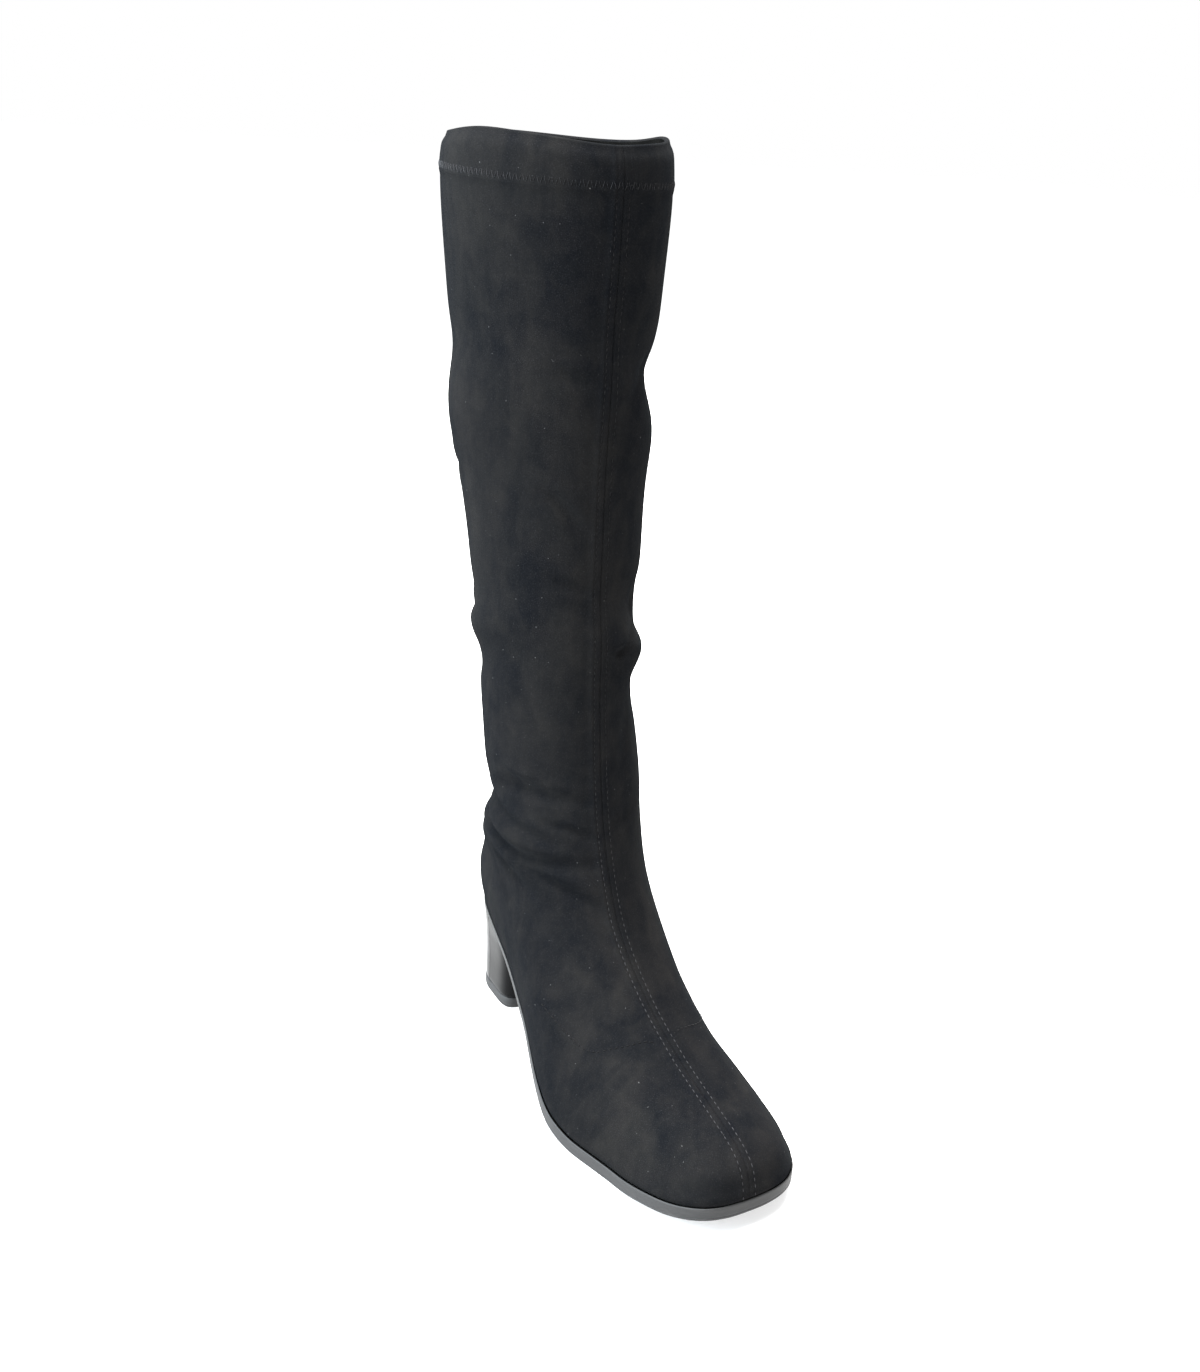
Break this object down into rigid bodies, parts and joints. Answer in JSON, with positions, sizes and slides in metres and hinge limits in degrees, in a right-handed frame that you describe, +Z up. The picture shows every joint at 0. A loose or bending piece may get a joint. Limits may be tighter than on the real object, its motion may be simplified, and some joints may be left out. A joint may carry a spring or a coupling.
{
  "type": "knee-high boot",
  "caption": "Knee-high stretch boot for the right foot, with a block heel, rounded square toe, centre-front seam and inner ankle zip.",
  "frame": {"origin": "on the floor, under the middle of the boot's bounding box", "axes": "+Z up along the leg, the toe towards -Y, the medial (inner) side towards +X"},
  "size_m": [0.1144, 0.267, 0.4582],
  "materials": {
    "suede": "matt brushed faux suede",
    "sole_rubber": "matt",
    "heel_gloss": "gloss",
    "tip_rubber": "matt",
    "lining": "matt",
    "zip_tape": "woven",
    "zip_coil": "satin",
    "zip_metal": "gloss"
  },
  "bodies": {
    "boot": {"upper": "suede", "outsole": "sole_rubber", "heel": "heel_gloss", "heel_tip": "tip_rubber", "insole": "lining", "zip_tape_front": "zip_tape", "zip_tape_back": "zip_tape", "zip_coil": "zip_coil", "zip_top_stop": "zip_metal", "zip_bottom_stop": "zip_metal", "zip_slider": "zip_metal"},
    "pull": {"zip_pull": "zip_metal"}
  },
  "joints": [
    {"name": "pull_hinge", "type": "hinge", "parent": "boot", "child": "pull", "pos_m": [0.03864, 0.06407, 0.22935], "axis": [0, -1, 0], "range_deg": [0, 170]}
  ]
}
